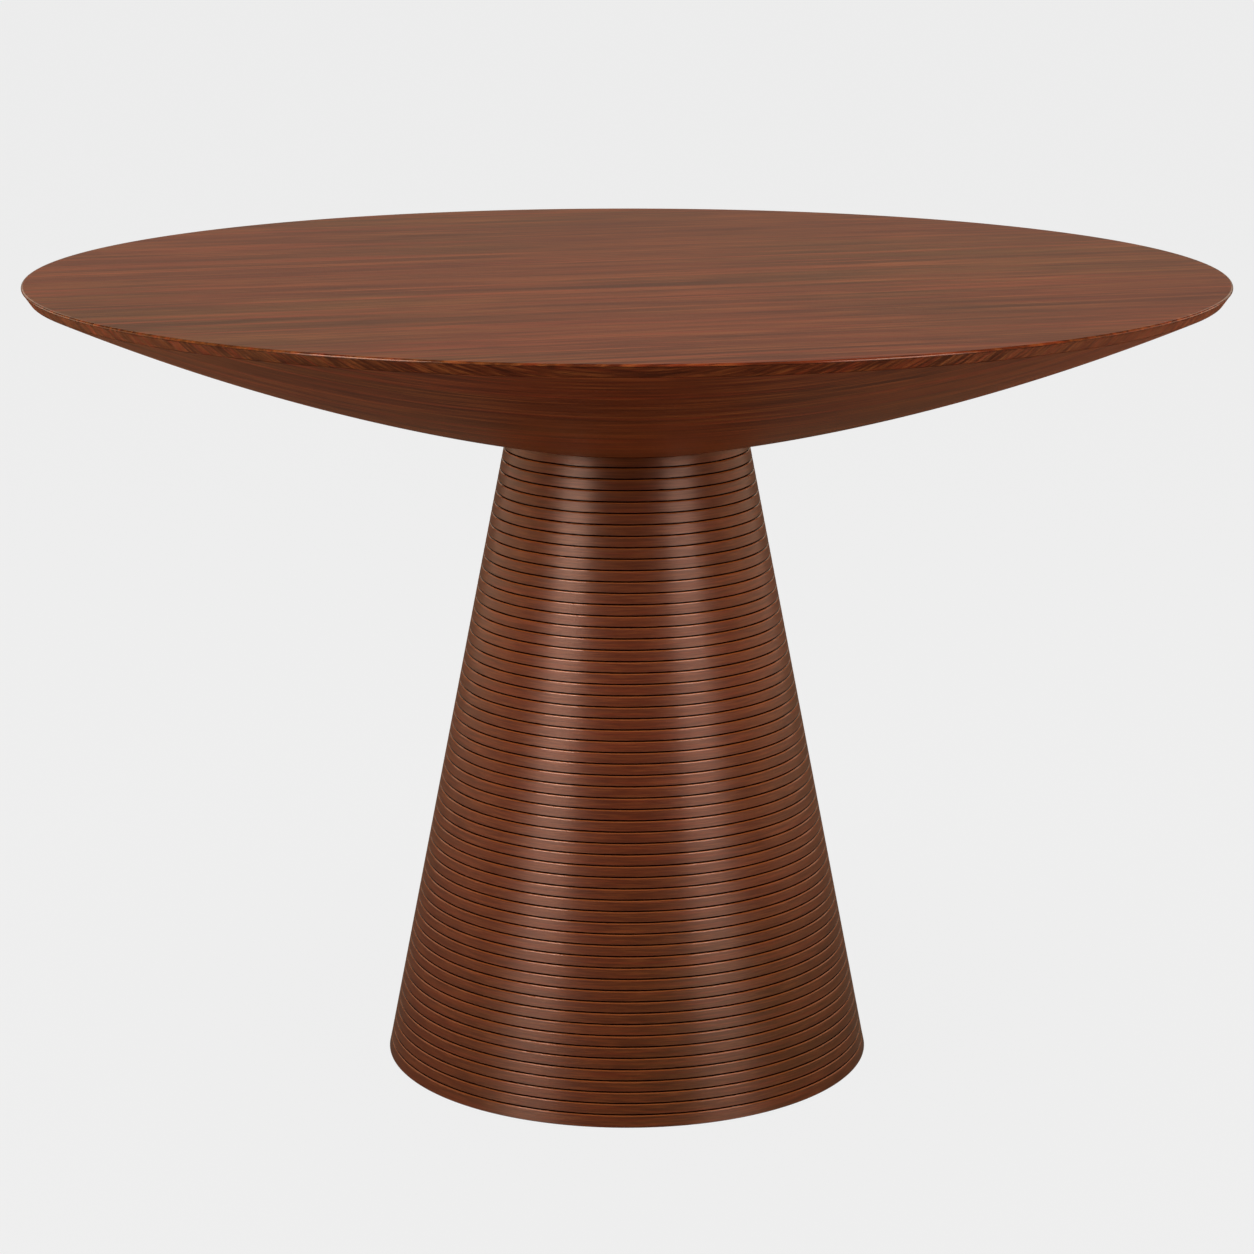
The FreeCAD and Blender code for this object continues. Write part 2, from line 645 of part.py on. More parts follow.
def keeper():
    """The plate under the top whose tongue hangs into the neck and takes the lock bolt."""
    places = [(x, y) for x in ("-10", "10") for y in ("keeper_plate_front + 8", "keeper_plate_back - 8")]
    screws = group(wood_screw(x, y, "seat_height", KEEPER_SCREW, True) for x, y in places)
    node(screws, "keeper_screws")
    plate = box(("-keeper_plate_side", "keeper_plate_side"), ("keeper_plate_front", "keeper_plate_back"),
                ("seat_height", "seat_height + leaf_thickness"))
    tongue = box(("-keeper_side", "keeper_side"), ("keeper_back - keeper_thickness", "keeper_back"),
                 ("lock_height - keeper_drop", "seat_height + overcut"))
    hole = cylinder("lock_radius + keeper_clearance", "keeper_back - keeper_thickness - overcut",
                    "keeper_thickness + 2 * overcut", "0", "lock_height", "Y")
    node(cut(joined([plate, tongue]), hole, screws), "keeper")
    return joined([plate, screws])


# The top.

def top_boards():
    """The core panel, the solid edge round it and the veneer over both."""
    face = "table_height - veneer"
    node(cylinder("panel_radius", PANEL_LOW, "panel_thickness"), "top_panel")
    rise = f"(({face} - rim_height) / (table_height - rim_height))"
    rim = bowl_radius("rim_height")
    outer = f"({rim} + (top_radius - {rim}) * {rise})"
    node(turned("edge_lipping", [
        ("panel_radius", "rim_height"), (rim, "rim_height"), (outer, face), ("panel_radius", face)]),
        "edge_lipping")
    node(cone(outer, "top_radius", face, "veneer"), "top_veneer")


def bowl_shell(seats):
    """The moulded underside: an arc turned about the axis, open at the neck for its plate."""
    opening = "neck_plate_radius + fit_gap"
    shell = turned("BowlBlank", [
        (opening, "seat_height"), (bowl_radius("seat_height"), "seat_height"),
        (bowl_radius("rim_height"), "rim_height"), (bowl_radius("rim_height", "bowl_wall"), "rim_height"),
        (opening, bowl(opening, "bowl_wall"))],
        {1: ("bowl_curve", 1), 3: ("bowl_curve - bowl_wall", -1)})
    return node(cut(shell, *seats), "bowl_shell")


def ribs():
    """Eight boards between the underside and the panel."""
    inner, clear = "(neck_plate_radius + fit_gap * 3)", "(bowl_wall + glue_gap)"
    for number in range(8):
        label = f"rib_{number + 1}"
        node(board(label, [
            (inner, bowl(inner, clear)), ("rib_reach", bowl("rib_reach", clear)),
            ("rib_reach", PANEL_LOW), (inner, PANEL_LOW)],
            "rib_thickness", 22.5 + 45 * number, {0: (f"bowl_curve - {clear}", 1)}), label)


def hub_and_plate(recess, leaf_screws, keeper_seat):
    """The stacked hub, the plate in the bowl's bottom, and the bolts and inserts that join them."""
    plate_top = "seat_height + neck_plate_thickness"
    head_low = "seat_height + hub_bolt_inset"
    head_top = f"{head_low} + hub_bolt_height"
    bolts, inserts, sinks = [], [], []
    for angle in (35, 145, 215, 325):
        place = on_circle("hub_bolt_circle", angle)
        head = cut(cylinder("hub_bolt_head", head_low, "hub_bolt_height", *place),
                   hexagon("hex_socket_radius", head_low, "hex_socket_depth", *place))
        bolts.append(joined([head, cylinder("hub_bolt_radius", head_top, "hub_bolt_length", *place)]))
        inserts.append(cut(cylinder("hub_insert_radius", plate_top, "hub_insert_length", *place),
                           cylinder("hub_bolt_radius", plate_top, "hub_insert_length", *place)))
        sinks.append(cylinder("hub_bolt_head", "seat_height - overcut",
                              "hub_bolt_inset + hub_bolt_height + overcut", *place))
    screws = node(group(bolts), "hub_bolts")
    sleeves = node(group(inserts), "hub_inserts")
    disc = cylinder("neck_plate_radius", "seat_height", "neck_plate_thickness")
    node(cut(disc, screws, group(sinks), recess, leaf_screws, keeper_seat), "neck_plate")
    hub_length = f"{PANEL_LOW} - ({plate_top})"
    block = cylinder("neck_plate_radius", plate_top, hub_length)
    hollow = cylinder("hub_bore", plate_top, hub_length)
    node(cut(block, hollow, screws, sleeves, leaf_screws, keeper_seat), "hub")


def stop_buffers():
    """Two buffers under the rear of the top, with the screws through them, that meet the pedestal's back."""
    buffers, screws = [], []
    for x in ("-buffer_side", "buffer_side"):
        blank = cylinder("buffer_radius", "buffer_low", "buffer_top - buffer_low", x, "buffer_back")
        screw = wood_screw(x, "buffer_back", "buffer_low + buffer_sink", LONG_SCREW, True)
        sink = cylinder("screw_head", "buffer_low", "buffer_sink", x, "buffer_back")
        buffers.append(cut(blank, sink, screw))
        screws.append(screw)
    node(group(buffers), "stop_buffers")
    return group(buffers), node(group(screws), "buffer_screws")


def table_top():
    """Everything that tips up with the top, apart from the hinge's moving leaf."""
    half = "hinge_width / 2"
    recess = box((f"-{half} - fit_gap", f"{half} + fit_gap"), ("leaf_front - fit_gap", "hinge_back + recess_back"),
                 ("seat_height - overcut", "seat_height + leaf_thickness"))
    buffers, buffer_screws = stop_buffers()
    leaf_screws = leaf_screws_up()
    top_boards()
    bowl_shell((recess, buffers, buffer_screws))
    ribs()
    hub_and_plate(recess, leaf_screws, keeper())


def check_and_write():
    """Stop on any failed object or bad shape, then write each sub-part to its own file."""
    document.recompute()
    for thing in document.Objects:
        if "Invalid" in thing.State or "Error" in thing.State:
            raise RuntimeError(f"{thing.Label} failed: {thing.State}")
    os.makedirs("parts", exist_ok=True)
    for thing in nodes:
        shape = thing.Shape
        if shape.isNull() or not shape.isValid() or not shape.Solids:
            raise RuntimeError(f"{thing.Label} has no valid solid")
        shape.exportStep(f"parts/{thing.Label}.step")
        print(f"{thing.Label}: {len(shape.Solids)} solids, {shape.Volume / 1000:.1f} cm3")


fill_sheet()
pedestal_shell()
grooved_skin()
pedestal_fins()
head_and_base(*tie_hardware())
seat_pads()
feet()
hinge()
lock()
table_top()
check_and_write()
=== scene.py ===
import json
import math

import bpy
import numpy as np
from mathutils import Matrix, Vector


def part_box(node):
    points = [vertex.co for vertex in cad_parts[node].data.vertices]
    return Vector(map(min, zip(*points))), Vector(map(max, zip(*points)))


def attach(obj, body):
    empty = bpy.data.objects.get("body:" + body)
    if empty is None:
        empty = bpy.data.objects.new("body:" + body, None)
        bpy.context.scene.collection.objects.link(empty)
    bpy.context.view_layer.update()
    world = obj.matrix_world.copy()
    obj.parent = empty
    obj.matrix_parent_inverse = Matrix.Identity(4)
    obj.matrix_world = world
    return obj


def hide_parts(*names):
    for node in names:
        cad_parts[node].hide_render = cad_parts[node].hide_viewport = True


bl_info = {
    "name": "Tilt top table",
    "version": (1, 0, 0),
    "blender": (4, 5, 0),
    "location": "3D View > Sidebar > Table",
    "description": "A round pedestal table with a dished, veneered top that tips up on a rear hinge",
    "category": "Add Mesh",
}

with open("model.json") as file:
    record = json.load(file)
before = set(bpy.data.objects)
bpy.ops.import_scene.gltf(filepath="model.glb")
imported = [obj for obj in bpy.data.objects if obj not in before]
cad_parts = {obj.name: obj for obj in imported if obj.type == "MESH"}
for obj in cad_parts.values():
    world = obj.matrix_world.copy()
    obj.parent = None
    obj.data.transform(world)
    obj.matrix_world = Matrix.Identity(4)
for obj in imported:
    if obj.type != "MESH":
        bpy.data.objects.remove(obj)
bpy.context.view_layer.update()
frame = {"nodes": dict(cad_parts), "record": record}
MM = 0.001
TAU = 2 * math.pi
FIT = 0.2 * MM  # clearance round a fitting that is let into a surface
PAST = 5 * MM   # how far a cutter runs past the surface that it opens


# ---------------------------------------------------------------- colours and nodes

def linear(hex_colour):
    """Linear RGBA of an sRGB colour written as six hex digits."""
    channels = [int(hex_colour[i:i + 2], 16) / 255 for i in (0, 2, 4)]
    return tuple(c / 12.92 if c <= 0.04045 else ((c + 0.055) / 1.055) ** 2.4 for c in channels) + (1.0,)


def add(tree, kind, props=None, values=None, links=None):
    """Add a node, set its properties and the values of its free sockets, and link outputs into the rest."""
    made = tree.nodes.new(kind)
    for name, value in (props or {}).items():
        setattr(made, name, value)
    for socket, value in (values or {}).items():
        made.inputs[socket].default_value = value
    for socket, source in (links or {}).items():
        tree.links.new(source, made.inputs[socket])
    return made


def blank_material(name, **surface):
    """A material with one Principled shader; the keywords set its sockets, underscores for spaces."""
    material = bpy.data.materials.new(name)
    material.use_nodes = True
    tree = material.node_tree
    shader = tree.nodes["Principled BSDF"]
    for socket, value in surface.items():
        shader.inputs[socket.replace("_", " ")].default_value = value
    return material, tree, shader


def ramp(tree, source, stops):
    """A colour ramp over a value, from pairs of position and colour."""
    made = add(tree, "ShaderNodeValToRGB", links={"Fac": source})
    band = made.color_ramp
    while len(band.elements) < len(stops):
        band.elements.new(1.0)
    for element, (position, colour) in zip(band.elements, stops):
        element.position, element.color = position, colour
    return made.outputs["Color"]


def grey(level):
    """An opaque grey for a ramp."""
    return (level, level, level, 1.0)


# ---------------------------------------------------------------- settings

def colour_setting(name, description, hex_colour):
    """A colour that the user may change, from its sRGB hex value."""
    return bpy.props.FloatVectorProperty(
        name=name, description=description, subtype="COLOR", size=4, min=0, max=1, default=linear(hex_colour))


def length_setting(name, description, default):
    """A length in metres that the user may change."""
    return bpy.props.FloatProperty(
        name=name, description=description, default=default, min=0, unit="LENGTH", precision=5)


class TableSizes(bpy.types.PropertyGroup):
    """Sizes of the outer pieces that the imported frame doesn't give."""
    arris: length_setting("Arris", "Radius of the rounded edge round the top", 1.8 * MM)
    reveal: length_setting("Reveal", "Width of the fine shadow line under the arris", 0.7 * MM)
    lip_heel: length_setting("Lip heel", "Radius of the lower edge of the lip", 0.7 * MM)
    bowl_curve: length_setting("Underside curve", "Radius of the arc that shapes the underside", 2.044)
    bowl_neck: length_setting("Underside neck", "Radius at which the underside ends at the neck", 0.1222)
    bowl_rim: length_setting("Underside rim", "Radius at which the underside meets the lip", 0.552)
    neck: length_setting("Neck", "Radius of the pedestal at its upper edge", 0.1149)
    groove_width: length_setting("Groove width", "Width of a groove at the surface", 2.0 * MM)
    groove_depth: length_setting("Groove depth", "Depth of a groove", 2.0 * MM)
    groove_first: length_setting("Lowest groove", "Height of the lowest groove", 15 * MM)
    groove_last: length_setting("Highest groove", "Height of the highest groove", 598.3 * MM)
    grooves: bpy.props.IntProperty(name="Grooves", description="Number of grooves", default=58, min=2)
    around: bpy.props.IntProperty(
        name="Steps round", description="Steps round a turned piece", default=384, min=32)
    around_pedestal: bpy.props.IntProperty(
        name="Steps round the pedestal", description="Steps round the grooved skin", default=232, min=32)


class TableColours(bpy.types.PropertyGroup):
    """Stains and finishes."""
    stain_dark: colour_setting("Dark stain", "Walnut stain where the grain takes most of it", "3C160A")
    stain_mid: colour_setting("Stain", "Walnut stain on plain grain", "602812")
    stain_red: colour_setting("Red stain", "Walnut stain on the redder streaks", "7C3118")
    stain_pale: colour_setting("Pale stain", "Walnut stain on the palest fine lines", "8C4C25")
    stain_olive: colour_setting("Olive stain", "Walnut stain where the veneer is greener", "552E14")
    # Paler edge colour: in part worn stain, in part a painted highlight line along the groove edges.
    worn_edge_and_painted_highlight: colour_setting("Edge stain", "Paler stain on the eased edges of the grooves", "A85A2C")
    # Near-black painted shade laid into the groove floors and inner walls.
    groove_painted_shade: colour_setting("Pooled stain", "Stain and lacquer that gather in the grooves", "120604")
    gloss: colour_setting("Gloss", "Tint of the lacquer's gloss seen face-on", "FFCDB4")
    stage: colour_setting("Stage", "Floor of the studio", "EEEEEE")


# ---------------------------------------------------------------- surfaces

def turned(name, profile, steps, sharp=40):
    """A surface of revolution: point (r, z) of the profile at angle a is (r cos a, r sin a, z).

    The profile is a closed ring of (r, z) rows, taken anticlockwise with r to the right and z up, so
    that faces point outwards. A solid piece has its first and last rows on the axis, where each end
    closes with one point; a hollow piece has none there.
    """
    rows = np.asarray(profile, float)
    on_axis = rows[:, 0] < 1e-9
    angles = np.arange(steps) * TAU / steps
    rings = rows[~on_axis]
    grid = np.empty((len(rings), steps, 3))
    grid[:, :, 0] = rings[:, :1] * np.cos(angles)
    grid[:, :, 1] = rings[:, :1] * np.sin(angles)
    grid[:, :, 2] = rings[:, 1:]
    points = grid.reshape(-1, 3)
    row = np.arange(len(rings) if not on_axis.any() else len(rings) - 1)[:, None]
    column = np.arange(steps)[None, :]
    above, beside = (row + 1) % len(rings), (column + 1) % steps
    quads = np.stack([row * steps + column, row * steps + beside,
                      above * steps + beside, above * steps + column], axis=-1).reshape(-1, 4)
    faces = quads.tolist()
    if on_axis.any():
        poles = rows[on_axis]
        low, high = len(points), len(points) + 1
        points = np.vstack([points, [[0, 0, poles[0, 1]], [0, 0, poles[-1, 1]]]])
        ring, last = column[0], (len(rings) - 1) * steps
        beside = beside[0]
        faces += np.stack([np.full(steps, low), beside, ring], axis=-1).tolist()
        faces += np.stack([np.full(steps, high), last + ring, last + beside], axis=-1).tolist()
    return finished(name, points, faces, sharp)


def finished(name, points, faces, sharp=40):
    """A smooth-shaded mesh object whose edges over an angle in degrees stay crisp."""
    mesh = bpy.data.meshes.new(name)
    mesh.from_pydata(points.tolist(), [], faces)
    mesh.polygons.foreach_set("use_smooth", np.ones(len(mesh.polygons), bool))
    mesh.set_sharp_from_angle(angle=math.radians(sharp))
    mesh.update()
    piece = bpy.data.objects.new(name, mesh)
    bpy.context.scene.collection.objects.link(piece)
    return piece


def rounded(centre, radius, start, end, count):
    """Points of an arc about a centre, from one angle in degrees to another."""
    angles = np.radians(np.linspace(start, end, count))
    return [(centre[0] + radius * math.cos(a), centre[1] + radius * math.sin(a)) for a in angles]


def arc_between(start, end, radius, count):
    """Points of an arc of a given radius that bulges down, from an inner point to a higher outer one."""
    start, end = Vector(start), Vector(end)
    half = (end - start) / 2
    up = Vector((-half.y, half.x)).normalized()
    centre = start + half + up * math.sqrt(radius ** 2 - half.length_squared)
    first = math.degrees(math.atan2(start.y - centre.y, start.x - centre.x))
    last = math.degrees(math.atan2(end.y - centre.y, end.x - centre.x))
    return rounded(centre, radius, first, last, count)


def carved(piece, cutters):
    """Take closed cutters out of a piece with exact booleans, then drop the cutters."""
    for cutter in cutters:
        modifier = piece.modifiers.new("Carve", "BOOLEAN")
        modifier.operation, modifier.object, modifier.solver = "DIFFERENCE", cutter, "EXACT"
    bpy.context.view_layer.update()
    graph = bpy.context.evaluated_depsgraph_get()
    mesh = bpy.data.meshes.new_from_object(piece.evaluated_get(graph))
    piece.modifiers.clear()
    piece.data = mesh
    mesh.name = piece.name
    for cutter in cutters:
        bpy.data.objects.remove(cutter)
    return piece


def block(low, high):
    """A closed box between two corners, for carving."""
    low, high = np.asarray(low), np.asarray(high)
    corners = np.array([[x, y, z] for z in (0, 1) for y in (0, 1) for x in (0, 1)])
    faces = [(0, 2, 3, 1), (4, 5, 7, 6), (0, 1, 5, 4), (2, 6, 7, 3), (0, 4, 6, 2), (1, 3, 7, 5)]
    return finished("cutter", low + corners * (high - low), faces)


def drum(centre, radius, length, steps=64):
    """A closed round bar along Y, for carving."""
    profile = [(0, 0), (radius, 0), (radius, length), (0, length)]
    bar = turned("cutter", profile, steps)
    bar.data.transform(Matrix.Translation(centre) @ Matrix.Rotation(math.radians(-90), 4, "X"))
    return bar


def placed(piece, body, nodes, material):
    """Give a finished piece its material, and say what it rides on, stands for and takes its finish from."""
    piece.data.materials.clear()
    piece.data.materials.append(material)
    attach(piece, body)
    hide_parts(*nodes)
    return piece


# ---------------------------------------------------------------- woods

def stained_wood(name, turn, stretch, fibre, figure, dark, rough=0.5, specular=0.5, depth=None, gloss=None):
    """Walnut-stained ash veneer under satin lacquer.

    The coordinates are turned about Z by an angle in degrees and then scaled by stretch, small along
    the grain and 1 across it, so that noise becomes streaks. Its sizes follow the width of a fibre
    bundle: bands of early and late wood (6 fibres), reddish streaks (2.4), the fibres, and the open
    pores between them (0.45). The lacquer's tinted gloss is warm face-on and white at a glance.
    gloss and depth, when given, take the node tree and return weights from 0 to 1: how thick and
    glossy the lacquer lies on an eased edge, and how deep a spot lies in a groove, where the stain
    is laid near black as painted shade. On a grooved piece the eased edges are also paler: in part
    stain worn off them, in part a painted highlight line.
    """
    colours = bpy.context.scene.table_colours
    material, tree, shader = blank_material(
        name, Roughness=rough, IOR=1.5, Specular_IOR_Level=specular, Specular_Tint=colours.gloss)
    place = add(tree, "ShaderNodeTexCoord").outputs["Object"]
    along = add(tree, "ShaderNodeMapping", values={
        "Rotation": (0, 0, math.radians(turn))}, links={"Vector": place}).outputs["Vector"]

    def streaks(width, detail, lengthen=1.0, offset=0.0):
        """Noise whose streaks are that wide across the grain, in metres."""
        scaled = add(tree, "ShaderNodeMapping", values={
            "Location": (offset, offset, offset),
            "Scale": tuple(s / (lengthen if s < 1 else 1) for s in stretch)}, links={"Vector": along})
        return add(tree, "ShaderNodeTexNoise",
                   values={"Scale": 1 / width, "Detail": detail, "Roughness": 0.55},
                   links={"Vector": scaled.outputs["Vector"]}).outputs["Fac"]

    def over(weight, below, colour):
        """One stain laid over another by a weight from 0 to 1."""
        return add(tree, "ShaderNodeMix", {"data_type": "RGBA"}, {7: tuple(colour)},
                   {0: weight, 6: below}).outputs[2]

    bands = streaks(fibre * 6, 4.0)
    red = streaks(fibre * 2.4, 2.0, lengthen=1.3, offset=3.1)
    fibres = streaks(fibre, 3.0, offset=7.7)
    pores = streaks(fibre * 0.45, 1.0, lengthen=0.7, offset=12.3)
    drift = add(tree, "ShaderNodeTexNoise", values={"Scale": 3.5, "Detail": 1.0},
                links={"Vector": along}).outputs["Fac"]

    tone = ramp(tree, drift, [(0.40, colours.stain_mid), (0.66, colours.stain_olive)])
    tone = over(ramp(tree, bands, [(0.36, grey(0.35 * figure)), (0.50, grey(0))]), tone, colours.stain_dark)
    tone = over(ramp(tree, bands, [(0.52, grey(0)), (0.68, grey(0.3 * figure))]), tone, colours.stain_pale)
    tone = over(ramp(tree, red, [(0.50, grey(0)), (0.64, grey(0.8 * figure))]), tone, colours.stain_red)
    tone = over(ramp(tree, fibres, [(0.50, grey(0)), (0.66, grey(0.65 * figure))]), tone, colours.stain_pale)
    tone = over(ramp(tree, fibres, [(0.34, grey(0.7 * figure)), (0.48, grey(0))]), tone, colours.stain_dark)
    tone = over(ramp(tree, pores, [(0.32, grey(0.6 * figure)), (0.44, grey(0))]), tone, colours.stain_dark)
    if depth:
        # Paler stain on the eased groove edges: in part worn stain, in part a painted highlight line.
        tone = over(ramp(tree, gloss(tree), [(0.0, grey(0)), (1.0, grey(0.7))]), tone, colours.worn_edge_and_painted_highlight)
        # Painted shade: the groove floors and inner walls are laid near black.
        tone = over(depth(tree), tone, colours.groove_painted_shade)
    # dark darkens the whole stain; the lower values on the underside and pedestal than on the top, all one
    # veneer and stain, are in part painted shade.
    shade = add(tree, "ShaderNodeMix", {"data_type": "RGBA", "blend_type": "MULTIPLY"},
                {0: 1.0, 7: grey(dark)}, {6: tone}).outputs[2]
    tree.links.new(shade, shader.inputs["Base Color"])
    if gloss:
        smooth = add(tree, "ShaderNodeMapRange", values={"To Min": rough, "To Max": 0.15},
                     links={"Value": gloss(tree)})
        tree.links.new(smooth.outputs["Result"], shader.inputs["Roughness"])
    relief = add(tree, "ShaderNodeMath", {"operation": "MULTIPLY_ADD"}, {1: 0.5}, {0: fibres, 2: pores})
    bump = add(tree, "ShaderNodeBump", values={"Strength": 0.10, "Distance": 0.3 * MM},
               links={"Height": relief.outputs["Value"]})
    tree.links.new(bump.outputs["Normal"], shader.inputs["Normal"])
    return material


def radius_weight(tree, start, end, slope=0.0):
    """A weight from 0 to 1 by radius: the distance from the upright axis plus slope times the height.

    With the slope of a cone's flank that sum is the same all over the flank and smaller in a groove.
    """
    place = add(tree, "ShaderNodeTexCoord").outputs["Object"]
    flat = add(tree, "ShaderNodeVectorMath", {"operation": "MULTIPLY"}, {1: (1, 1, 0)}, {0: place})
    radius = add(tree, "ShaderNodeVectorMath", {"operation": "LENGTH"}, links={0: flat.outputs["Vector"]})
    height = add(tree, "ShaderNodeSeparateXYZ", links={"Vector": place}).outputs["Z"]
    total = add(tree, "ShaderNodeMath", {"operation": "MULTIPLY_ADD"}, {1: slope},
                {0: height, 2: radius.outputs["Value"]})
    return add(tree, "ShaderNodeMapRange", values={"From Min": start, "From Max": end},
               links={"Value": total.outputs["Value"]}).outputs["Result"]


# ---------------------------------------------------------------- boards, metals, rubber

def plywood(name="Birch plywood, sawn"):
    """Pale sawn wood with a soft figure about 14 mm wide that runs along X."""
    material, tree, shader = blank_material(name, Roughness=0.62)
    place = add(tree, "ShaderNodeTexCoord").outputs["Object"]
    stretched = add(tree, "ShaderNodeMapping", values={"Scale": (0.08, 1, 1)}, links={"Vector": place})
    figure = add(tree, "ShaderNodeTexNoise", values={"Scale": 1 / (14 * MM), "Detail": 4.0},
                 links={"Vector": stretched.outputs["Vector"]}).outputs["Fac"]
    colour = ramp(tree, figure, [(0.3, linear("A67E50")), (0.7, linear("C4A071"))])
    tree.links.new(colour, shader.inputs["Base Color"])
    return material


def fibreboard():
    """Medium density board: an even tan with a fine speckle of fibres."""
    material, tree, shader = blank_material("Fibreboard, pressed", Roughness=0.75)
    place = add(tree, "ShaderNodeTexCoord").outputs["Object"]
    speck = add(tree, "ShaderNodeTexNoise", values={"Scale": 1 / (1.6 * MM), "Detail": 3.0},
                links={"Vector": place}).outputs["Fac"]
    colour = ramp(tree, speck, [(0.35, linear("6F5236")), (0.65, linear("8C6A49"))])
    tree.links.new(colour, shader.inputs["Base Color"])
    return material


def metal(name, dark_hex, pale_hex, roughness, grain, metallic=1.0):
    """A worked metal: its tone drifts a little and its roughness varies over the grain size in metres."""
    material, tree, shader = blank_material(name, Metallic=metallic, Roughness=roughness)
    place = add(tree, "ShaderNodeTexCoord").outputs["Object"]
    drift = add(tree, "ShaderNodeTexNoise", values={"Scale": 1 / grain, "Detail": 3.0},
                links={"Vector": place}).outputs["Fac"]
    colour = ramp(tree, drift, [(0.35, linear(dark_hex)), (0.65, linear(pale_hex))])
    tree.links.new(colour, shader.inputs["Base Color"])
    rough = add(tree, "ShaderNodeMapRange", values={"To Min": roughness * 0.8, "To Max": roughness * 1.25},
                links={"Value": drift})
    tree.links.new(rough.outputs["Result"], shader.inputs["Roughness"])
    return material


def moulded(name, dark_hex, pale_hex, roughness, grain):
    """A moulded rubber or plastic: near-even colour with a fine pebbled skin of the grain size in metres."""
    material, tree, shader = blank_material(name, Roughness=roughness)
    place = add(tree, "ShaderNodeTexCoord").outputs["Object"]
    pebble = add(tree, "ShaderNodeTexNoise", values={"Scale": 1 / grain, "Detail": 2.0},
                 links={"Vector": place}).outputs["Fac"]
    colour = ramp(tree, pebble, [(0.3, linear(dark_hex)), (0.7, linear(pale_hex))])
    tree.links.new(colour, shader.inputs["Base Color"])
    bump = add(tree, "ShaderNodeBump", values={"Strength": 0.2, "Distance": 0.2 * MM},
               links={"Height": pebble})
    tree.links.new(bump.outputs["Normal"], shader.inputs["Normal"])
    return material


# ---------------------------------------------------------------- pieces

class TABLE_OT_top_face(bpy.types.Operator):
    """Make the veneered face of the top with its rounded arris"""
    bl_idname = "table.top_face"
    bl_label = "Top face"

    def execute(self, context):
        sizes = context.scene.table_sizes
        low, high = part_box("top_veneer")
        corner, tip = arris_centre(sizes, high)
        flat_end = corner[0] - 2 * MM
        profile = [(0, low.z)] + [(r, low.z) for r in np.linspace(0.1, flat_end, 3)]
        profile += rounded(corner, sizes.arris, tip, 90, 9)
        profile += [(r, high.z) for r in np.linspace(flat_end, 0.06, 8)] + [(0, high.z)]
        face = turned("top_face", profile, sizes.around)
        wood = stained_wood(
            "Ash veneer, walnut stain, satin lacquer, on the top", turn=-16, stretch=(0.025, 1, 1),
            fibre=4.0 * MM, figure=0.95, dark=0.8,
            gloss=lambda tree: radius_weight(tree, corner[0], corner[0] + 0.5 * MM))
        placed(face, "table_top", ["top_veneer"], wood)
        return {"FINISHED"}


def arris_centre(sizes, high):
    """Centre of the arris and the angle at which the veneer ends and the lip begins, in degrees."""
    return (high.x - sizes.arris, high.z - sizes.arris), -5


def lip_profile(sizes):
    """Rows of the lip: its inside, a rounded heel, the undercut face, and a shadow line under the arris."""
    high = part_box("top_veneer")[1]
    low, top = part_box("edge_lipping")
    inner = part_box("top_panel")[1].x + 0.1 * MM
    centre, tip = arris_centre(sizes, high)
    shoulder = rounded(centre, sizes.arris, tip, tip, 1)[0]
    slope = (shoulder[0] - sizes.bowl_rim) / (shoulder[1] - low.z)
    start = (shoulder[0] - sizes.reveal * (slope + 0.2), shoulder[1] - sizes.reveal)
    heel, rim = sizes.lip_heel, sizes.bowl_rim
    heel_steps = ((-1.0, 0.0), (-0.3, 0.12), (0.2, 0.55), (1.6 * slope, 1.6))
    behind = start[0] - 0.6 * MM
    rows = [(inner, top.z), (inner, low.z)]
    rows += [(rim + heel * out, low.z + heel * up) for out, up in heel_steps]
    return rows + [start, (behind, start[1] + 0.1 * MM), (behind, shoulder[1] - 0.05 * MM)]


class TABLE_OT_lip(bpy.types.Operator):
    """Make the thin undercut lip round the top"""
    bl_idname = "table.lip"
    bl_label = "Lip"

    def execute(self, context):
        sizes = context.scene.table_sizes
        lip = turned("edge_lip", lip_profile(sizes), sizes.around)
        wood = stained_wood("Solid ash lipping, walnut stain", turn=0, stretch=(0.03, 1, 0.12),
                            fibre=1.5 * MM, figure=1.2, dark=0.5, specular=0.3)
        placed(lip, "table_top", ["edge_lipping"], wood)
        return {"FINISHED"}


class TABLE_OT_bowl(bpy.types.Operator):
    """Make the dished underside, let in for the hinge's moving leaf"""
    bl_idname = "table.bowl"
    bl_label = "Underside"

    def execute(self, context):
        sizes = context.scene.table_sizes
        low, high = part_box("bowl_shell")
        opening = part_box("neck_plate")[1].x + 0.3 * MM
        thick_at_neck, thick_at_rim = 7 * MM, 21 * MM
        neck, rim = (sizes.bowl_neck, low.z + 0.5 * MM), (sizes.bowl_rim, high.z)
        outside = arc_between(neck, rim, sizes.bowl_curve, 72)
        inside = arc_between((opening, low.z + thick_at_neck), (rim[0] - thick_at_rim, high.z),
                             sizes.bowl_curve, 12)
        eased = [(neck[0] - 1.2 * MM, low.z), (neck[0] - 0.4 * MM, low.z + 0.12 * MM)]
        shell = turned("underside", [(opening, low.z)] + eased + outside + inside[::-1], sizes.around)
        leaf_low, leaf_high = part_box("hinge_moving_leaf")
        seat = block((leaf_low.x - FIT, leaf_low.y - FIT, low.z - PAST),
                     (leaf_high.x + FIT, leaf_high.y + PAST, leaf_high.z + FIT))
        carved(shell, [seat])
        # dark=0.62, below the top's 0.8, is in part painted shade for the downward-facing underside.
        wood = stained_wood("Ash veneer, walnut stain, on the underside", turn=0, stretch=(0.025, 1, 0.05),
                            fibre=3.0 * MM, figure=1.1, dark=0.62, specular=0.35)
        placed(shell, "table_top", ["bowl_shell"], wood)
        return {"FINISHED"}


